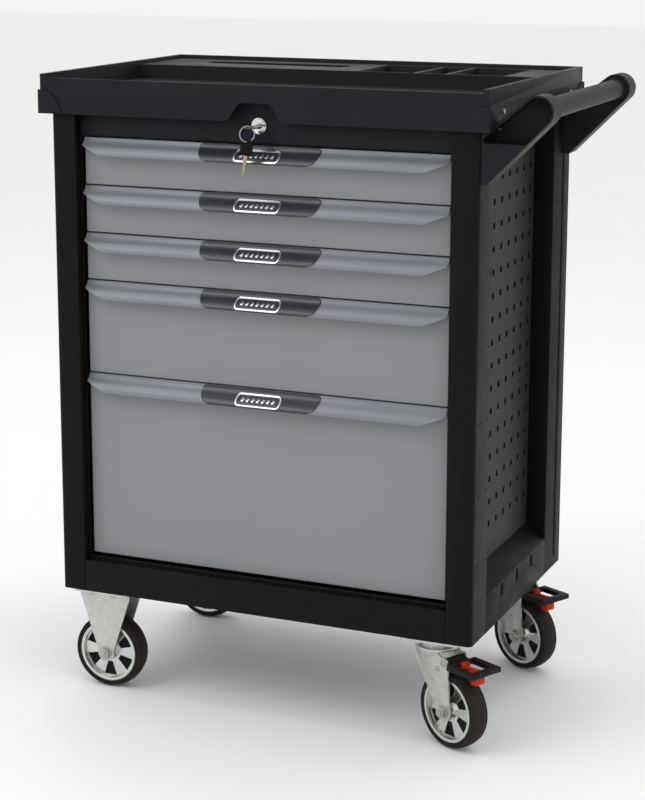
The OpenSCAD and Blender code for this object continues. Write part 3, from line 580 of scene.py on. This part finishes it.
spareSettings = {"head": (21 * mm, 3 * mm, 25 * mm), "blade": (7.5 * mm, 2 * mm, 30 * mm), "turn": 8,
                 "top": 4 * mm, "tipL": 5 * mm, "taper": 0.3, "cuts": 4, "cutFrom": 8 * mm,
                 "cutPitch": 5 * mm, "cutL": 2.5 * mm, "cutEdges": (0.4 * mm, 2.6 * mm)}
ringLow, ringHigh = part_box("key_ring")
ringMiddle = (ringLow + ringHigh) / 2
hung = (Matrix.Translation((ringMiddle.x, ringMiddle.y, ringLow.z))
        @ Matrix.Rotation(math.radians(spareSettings["turn"]), 4, "Y"))
headW, headT, headL = spareSettings["head"]
bladeW, bladeT, bladeL = spareSettings["blade"]
neck = spareSettings["top"] - headL
tip = neck - bladeL
bm = bmesh.new()
addBlock(bm, (-headW / 2, -headT / 2, neck), (headW / 2, headT / 2, spareSettings["top"]), 1.2 * mm, 3)
bmesh.ops.transform(bm, verts=bm.verts, matrix=hung)
finishPiece(bm, "spareKeyHead", "key_ring", "postPlastic")
bm = bmesh.new()
addBlock(bm, (-bladeW / 2, -bladeT / 2, tip), (bladeW / 2, bladeT / 2, neck + 1 * mm), 0.4 * mm)
for vert in bm.verts:
    vert.co.x *= spareSettings["taper"] if vert.co.z < tip + spareSettings["tipL"] else 1
near, far = spareSettings["cutEdges"]
for k in range(spareSettings["cuts"]):
    foot = tip + spareSettings["cutFrom"] + k * spareSettings["cutPitch"]
    addBlock(bm, (bladeW / 2 - far, -bladeT / 2 * 0.9, foot),
             (bladeW / 2 - near, bladeT / 2 * 0.9, foot + spareSettings["cutL"]), 0.3 * mm)
bmesh.ops.transform(bm, verts=bm.verts, matrix=hung)
finishPiece(bm, "spareKeyBlade", "key_ring", "keyBrass")
print("lock made")


# drawers: front, pull rail, grip with its plate, box and liner
drawerSettings = {"frontEdge": 1.3 * mm, "railEdge": 0.5 * mm, "boxEdge": 0.35 * mm,
                  "linerHalf": 301.5 * mm, "linerGap": 4.2 * mm, "linerUp": 1.25 * mm, "linerT": 1.6 * mm}
gripSettings = {"cut": 24 * mm, "cutFrom": 0.25, "corner": 5 * mm, "cornerTo": 0.18, "under": 0.3 * mm,
                "columns": 110, "rows": 22, "edge": 1.0 * mm}
plateSettings = {"half": 39.5 * mm, "round": 8 * mm, "from": 0.22, "to": 0.9, "thick": 1.1 * mm,
                 "under": 0.3 * mm, "sink": 0.5 * mm, "wall": 0.3 * mm, "columns": 60, "rows": 16,
                 "frame": 2, "bars": 7, "barPitch": 8.8 * mm, "barSize": (5.2 * mm, 1.6 * mm, 8 * mm),
                 "lean": 14}


def railPlace(t, low, high, out):
    # the rail's face falls forwards in one S; t runs from its top edge to its lower edge
    root = 2.2 * mm
    y = high.y - root - (high.y - low.y - root) * (1 - math.cos(math.pi * t)) / 2
    return y - out, high.z - (high.z - low.z) * t


def wrapGrid(bm, number, columns, rows, halfAt, first, last, out, border=0):
    # a flat grid laid on the rail's face; halfAt gives its half length at each height
    railLow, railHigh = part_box(f"pull_rail_{number}")
    bmesh.ops.create_grid(bm, x_segments=columns, y_segments=rows, size=1)
    # faces at least border cells in from the edge
    inner = [face for face in bm.faces if abs(face.calc_center_median().x) < 1 - 2 * border / columns
             and abs(face.calc_center_median().y) < 1 - 2 * border / rows]
    for vert in bm.verts:
        u, v = vert.co.x, vert.co.y
        t = (first + last) / 2 - v * (last - first) / 2
        vert.co = (u * halfAt(v), *railPlace(t, railLow, railHigh, out))
    bmesh.ops.recalc_face_normals(bm, faces=bm.faces)
    if sum(face.normal.y for face in bm.faces) > 0:
        bmesh.ops.reverse_faces(bm, faces=bm.faces)
    return inner


def thicken(bm, depth, edge=0.0):
    # the grid's face moves forwards by depth, and its front rim is rounded
    out = bmesh.ops.extrude_face_region(bm, geom=bm.faces[:])
    moved = [g for g in out["geom"] if isinstance(g, bmesh.types.BMVert)]
    bmesh.ops.translate(bm, verts=moved, vec=(0, -depth, 0))
    if edge:
        front = {g for g in out["geom"] if isinstance(g, bmesh.types.BMFace)}
        rim = [e for e in bm.edges if len([f for f in e.link_faces if f in front]) == 1]
        bevelEdges(bm, rim, edge, 3)


def addGrip(number, settings):
    gripLow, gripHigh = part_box(f"grip_{number}")
    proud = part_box(f"pull_rail_{number}")[0].y - gripLow.y
    under = settings["under"]

    def halfAt(v):
        # small round upper corners, and lower corners swept far inwards
        t = (1 - v) / 2
        upper = max(0, 1 - t / settings["cornerTo"])
        lower = max(0, (t - settings["cutFrom"]) / (1 - settings["cutFrom"]))
        return (gripHigh.x - settings["corner"] * (1 - math.sqrt(max(0, 1 - upper ** 2)))
                - settings["cut"] * (1 - math.sqrt(max(0, 1 - lower ** 2 * 0.96))))

    bm = bmesh.new()
    wrapGrid(bm, number, settings["columns"], settings["rows"], halfAt, 0.0, 1.0, -under)
    thicken(bm, proud + under, settings["edge"])
    finishPiece(bm, f"gripPad_{number}", f"drawer_{number}", "gripPlastic",
                [f"grip_{number}"])


def addPlate(number, settings):
    railLow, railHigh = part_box(f"pull_rail_{number}")
    proud = railLow.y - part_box(f"grip_{number}")[0].y

    def halfAt(v):
        return settings["half"] - settings["round"] * (1 - math.sqrt(max(0, 1 - 0.97 * v * v)))

    bm = bmesh.new()
    inner = wrapGrid(bm, number, settings["columns"], settings["rows"], halfAt, settings["from"],
                     settings["to"], proud - settings["under"], settings["frame"])
    bmesh.ops.inset_region(bm, faces=inner, thickness=settings["wall"], depth=-settings["sink"],
                           use_even_offset=False)
    for face in inner:
        face.material_index = 1
    thicken(bm, settings["thick"] + settings["under"])
    # a row of plain leaning bars
    wide, deep, tall = settings["barSize"]
    t = (settings["from"] + settings["to"]) / 2
    out = proud + settings["thick"] - settings["sink"]
    y, z = railPlace(t, railLow, railHigh, out)
    yNext, zNext = railPlace(t + 0.02, railLow, railHigh, out)
    slope = math.atan2(y - yNext, z - zNext)
    for k in range(settings["bars"]):
        bar = bmesh.new()
        addBlock(bar, (-wide / 2, -deep / 2, -tall / 2), (wide / 2, deep / 2, tall / 2), 0.5 * mm, 2)
        bmesh.ops.transform(bar, verts=bar.verts, matrix=Matrix.Translation(
            ((k - (settings["bars"] - 1) / 2) * settings["barPitch"], y, z))
            @ Matrix.Rotation(-slope, 4, "X") @ Matrix.Rotation(math.radians(settings["lean"]), 4, "Y"))
        joinMesh(bm, bar)
    finishPiece(bm, f"gripPlate_{number}", f"drawer_{number}", "badgeMetal",
                more=["gripPlastic"])


def isFrontEdge(edge, low, high):
    # an edge in the plane of the front, or one that runs back from its corners
    near = 1 * mm
    touch = 0.1 * mm
    ys = [v.co.y for v in edge.verts]
    if max(ys) < low.y + near:
        return True
    return (min(ys) < low.y + near and edge.calc_length() > 10 * mm
            and min(abs(abs(v.co.x) - high.x) for v in edge.verts) < touch
            and min(min(abs(v.co.z - low.z), abs(v.co.z - high.z)) for v in edge.verts) < touch)


for number in range(1, 6):
    body = f"drawer_{number}"
    frontLow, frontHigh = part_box(f"drawer_front_{number}")
    bm = nodeCopy(f"drawer_front_{number}")
    roundEdges(bm, drawerSettings["frontEdge"], 3, pick=lambda e: isFrontEdge(e, frontLow, frontHigh))
    finishPiece(bm, f"drawerFront_{number}", body, "drawerPaint", [f"drawer_front_{number}"],
                recalc=False)
    bm = nodeCopy(f"pull_rail_{number}")
    roundEdges(bm, drawerSettings["railEdge"], 2, pick=lambda e: e.calc_length() > 1.2 * mm)
    finishPiece(bm, f"pullRail_{number}", body, "railMetal", [f"pull_rail_{number}"],
                recalc=False)
    addGrip(number, gripSettings)
    addPlate(number, plateSettings)
    bm = nodeCopy(f"drawer_box_{number}")
    roundEdges(bm, drawerSettings["boxEdge"], 2, pick=lambda e: e.calc_length() > 8 * mm)
    finishPiece(bm, f"drawerBox_{number}", body, "boxPaint", [f"drawer_box_{number}"],
                recalc=False)
    boxLow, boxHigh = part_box(f"drawer_box_{number}")
    half, gap = drawerSettings["linerHalf"], drawerSettings["linerGap"]
    foot = boxLow.z + drawerSettings["linerUp"]
    bm = bmesh.new()
    addBlock(bm, (-half, boxLow.y + gap, foot),
             (half, boxHigh.y - gap, foot + drawerSettings["linerT"]), 0.5 * mm)
    finishPiece(bm, f"drawerLiner_{number}", body, "linerRubber")
print("drawers made")


# casters: tyres turned from a crowned outline, cast wheel centres, forks, race rings and pedals
tyreSettings = {"width": 32 * mm, "depth": 11 * mm, "crown": 2.2 * mm, "shoulder": 5 * mm,
                "groove": 0.9 * mm, "steps": 96}
rimSettings = {"edge": 0.9 * mm, "lipSteps": 96, "capSteps": 40, "webSteps": 72, "bore": 5.2 * mm,
               "caps": ((16 * mm, 9.5 * mm), (18 * mm, 7.5 * mm)), "hub": 14 * mm}
wheelCarriers = {"fixed_front": "cabinet", "fixed_rear": "cabinet",
                 "swivel_front": "swivel_front", "swivel_rear": "swivel_rear"}


def tyreOutline(outer, inner, settings):
    # from the middle of the tread round the shoulder and down the wall, then the same on the other side
    half = settings["width"] / 2
    crown, shoulder, groove = settings["crown"], settings["shoulder"], settings["groove"]
    side = []
    for k in range(9):
        angle = math.pi / 2 * k / 8
        side.append((outer - crown - shoulder * (1 - math.cos(angle)),
                     half - shoulder * (1 - math.sin(angle))))
    tread = [(outer, 0), (outer - crown * 0.12, half * 0.3), (outer - crown * 0.45, half * 0.58)]
    ringAt = (outer + inner) / 2 + 1 * mm
    wall = [(ringAt + 1.6 * mm, half), (ringAt + 0.8 * mm, half - groove),
            (ringAt - 0.8 * mm, half - groove), (ringAt - 1.6 * mm, half),
            (inner + 1.5 * mm, half), (inner, half - 1.5 * mm)]
    upper = tread[1:] + side + wall
    return [tread[0]] + upper + [(radius, -along) for radius, along in reversed(upper)]


def axleOf(key):
    joint = joints[f"wheel_{key}_spin"]
    return Vector(joint["pos_m"]), Vector(joint["axis"]).normalized()


for key in wheelCarriers:
    body = f"wheel_{key}"
    centre, axis = axleOf(key)
    tyreLow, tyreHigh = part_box(f"tyre_{key}")
    radius = (tyreHigh.z - tyreLow.z) / 2
    inner = radius - tyreSettings["depth"]
    bm = bmesh.new()
    lathe(bm, tyreOutline(radius, inner, tyreSettings), centre, axis, tyreSettings["steps"])
    finishPiece(bm, f"wheelTyre_{key}", body, "tyreRubber", [f"tyre_{key}"], smooth=30)
    bm = nodeCopy(f"rim_{key}")
    roundEdges(bm, rimSettings["edge"], 2, pick=lambda e: e.calc_length() > 1.6 * mm)
    finishPiece(bm, f"wheelCentre_{key}", body, "wheelMetal", [f"rim_{key}"],
                recalc=False)
    # rolled lip and a stepped hub on each side
    bm = bmesh.new()
    for side in (-1, 1):
        face = tyreSettings["width"] / 2
        lip = [(inner - 0.5 * mm, face - 2 * mm), (inner - 0.5 * mm, face + 0.2 * mm),
               (inner - 1.6 * mm, face + 0.7 * mm), (inner - 4 * mm, face + 0.2 * mm),
               (inner - 5.5 * mm, face - 3 * mm)]
        lathe(bm, lip, centre, axis * side, rimSettings["lipSteps"])
        for out, wide in rimSettings["caps"]:
            cap = [(rimSettings["bore"], out - 3 * mm), (rimSettings["bore"], out), (wide - 0.8 * mm, out),
                   (wide, out - 0.8 * mm), (wide, out - 3 * mm)]
            lathe(bm, cap, centre, axis * side, rimSettings["capSteps"])
    finishPiece(bm, f"rimLip_{key}", body, "wheelMetal")
    # dark web behind the windows
    bm = bmesh.new()
    hub, edge = rimSettings["hub"], inner - 3 * mm
    lathe(bm, [(hub, -2.5 * mm), (hub, 2.5 * mm), (edge, 4 * mm), (edge, -4 * mm)], centre, axis,
          rimSettings["webSteps"])
    finishPiece(bm, f"rimWeb_{key}", body, "webPaint")

# nuts and washers on both ends of each axle
nutSettings = {
    "cheek": 23 * mm,
    # washer, nut and axle end: radius, thickness, sides
    "stack": ((11 * mm, 1.6 * mm, 40), (9.5 * mm, 7 * mm, 6), (5 * mm, 2.5 * mm, 24)),
    "edge": 0.5 * mm,
}
for key, carrier in wheelCarriers.items():
    centre, axis = axleOf(key)
    bm = bmesh.new()
    for side in (-1, 1):
        reach = nutSettings["cheek"]
        for radius, thick, sides in nutSettings["stack"]:
            addRound(bm, centre + axis * side * (reach + thick / 2), axis * side, radius, thick,
                     nutSettings["edge"], sides)
            reach += thick
    finishPiece(bm, f"axleNuts_{key}", carrier, "slideZinc")

forkSettings = {"edge": 0.9 * mm, "boltEdge": 0.7 * mm}
for node, name, body in (("fixed_forks", "fixedForks", "cabinet"),
                         ("swivel_plates", "swivelPlates", "cabinet"),
                         ("swivel_fork_front", "swivelForkFront", "swivel_front"),
                         ("swivel_fork_rear", "swivelForkRear", "swivel_rear")):
    bm = nodeCopy(node)
    roundEdges(bm, forkSettings["edge"], 2, pick=lambda e: e.calc_length() > 2 * mm)
    finishPiece(bm, name, body, "forkZinc", [node], recalc=False)
bm = nodeCopy("fasteners")
roundEdges(bm, forkSettings["boltEdge"], 2, pick=lambda e: e.calc_length() > 1.5 * mm)
finishPiece(bm, "bolts", "cabinet", "slideZinc", ["fasteners"], recalc=False)

pedalSettings = {"edge": 1.4 * mm}
for key in ("front", "rear"):
    bm = nodeCopy(f"brake_pedal_{key}")
    roundEdges(bm, pedalSettings["edge"], 3, pick=lambda e: e.calc_length() > 2.5 * mm)
    finishPiece(bm, f"pedal_{key}", f"pedal_{key}", "pedalPlastic", [f"brake_pedal_{key}"],
                recalc=False)
print("casters made")

# red release lever of each pedal, in the fork's own frame and in millimetres
tabSettings = {
    "drop": 23 * mm,  # from the pedal's top down to where the blocks' heights count from
    # blocks: low corner, high corner, rounding and its steps
    "blocks": [
        ((80.1, -10.5, 0.2), (92.5, 10.5, 13), 1.2, 3),
        ((86.5, -10, -7), (98.5, 10, 12.5), 1.4, 3),
        ((60.2, -3.5, 10.8), (92.5, 3.5, 15.6), 0.8, 2),
        ((60.2, -6.5, 11), (69, 6.5, 20.5), 0.8, 2),
    ],
    # pin heads: place along the fork, out from its middle, height, radius, thickness, rounding, segments
    "pins": [(38, 23.7, 142, 6, 2.4, 0.9, 28), (26, 23.5, 130, 4.2, 1.8, 0.7, 24)],
}
for key in ("front", "rear"):
    pivot = Vector(joints[f"swivel_{key}_turn"]["pos_m"])
    axis = Vector(joints[f"wheel_swivel_{key}_spin"]["axis"])
    axis = axis if axis.y > 0 else -axis
    turn = Matrix.Rotation(math.atan2(-axis.x, axis.y), 4, "Z")
    parked = Matrix.Translation((pivot.x, pivot.y, 0)) @ turn
    foot = Vector((0, 0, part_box(f"brake_pedal_{key}")[1].z - tabSettings["drop"]))
    bm = bmesh.new()
    for low, high, rounding, steps in tabSettings["blocks"]:
        addBlock(bm, foot + Vector(low) * mm, foot + Vector(high) * mm, rounding * mm, steps)
    bmesh.ops.transform(bm, verts=bm.verts, matrix=parked)
    finishPiece(bm, f"pedalTab_{key}", f"pedal_{key}", "pedalRed")
    pin = bmesh.new()
    for side in (-1, 1):
        for along, out, height, radius, thick, rounding, sides in tabSettings["pins"]:
            addRound(pin, Vector((along, side * out, height)) * mm, (0, side, 0), radius * mm, thick * mm,
                     rounding * mm, sides)
    bmesh.ops.transform(pin, verts=pin.verts, matrix=parked)
    finishPiece(pin, f"forkPins_{key}", f"swivel_{key}", "slideZinc")
print("pedal tabs made")


# floor and soft studio light
studioSettings = {
    "floorSize": 40,
    "world": (1.0, 1.0, 1.0, 1),
    "worldStrength": 0.9,
    "aim": (0, 0, 0.55),
    "lights": [  # name, place, size, power
        ("key", (-2.0, -2.6, 3.6), 2.6, 34),
        ("fill", (3.6, -1.8, 2.0), 2.4, 10),
        ("top", (0.2, 0.2, 3.8), 2.6, 24),
    ],
}


def addStudio(settings):
    world = bpy.data.worlds.new("studio")
    world.use_nodes = True
    background = world.node_tree.nodes["Background"]
    background.inputs["Color"].default_value = settings["world"]
    background.inputs["Strength"].default_value = settings["worldStrength"]
    bpy.context.scene.world = world
    for name, place, size, power in settings["lights"]:
        data = bpy.data.lights.new(name, "AREA")
        data.shape, data.size, data.energy = "DISK", size, power
        lamp = bpy.data.objects.new(name, data)
        lamp.location = place
        toAim = Vector(settings["aim"]) - Vector(place)
        lamp.rotation_euler = toAim.to_track_quat("-Z", "Y").to_euler()
        bpy.context.scene.collection.objects.link(lamp)
    bm = bmesh.new()
    bmesh.ops.create_grid(bm, x_segments=1, y_segments=1, size=settings["floorSize"] / 2)
    mesh = bpy.data.meshes.new("floor")
    bm.to_mesh(mesh)
    bm.free()
    floor = bpy.data.objects.new("floor", mesh)
    bpy.context.scene.collection.objects.link(floor)
    material, shader, coords = startFinish("floorPaint")
    cloud = coords.noise(1.5, 3)
    feed(shader, colour=cloud.mixed(paint(246, 246, 245), paint(250, 250, 250)),
         roughness=0.6 + cloud * 0.1)
    mesh.materials.append(material)


addStudio(studioSettings)
bpy.context.scene.view_settings.view_transform = "Standard"
print("studio made")

bpy.context.view_layer.update()
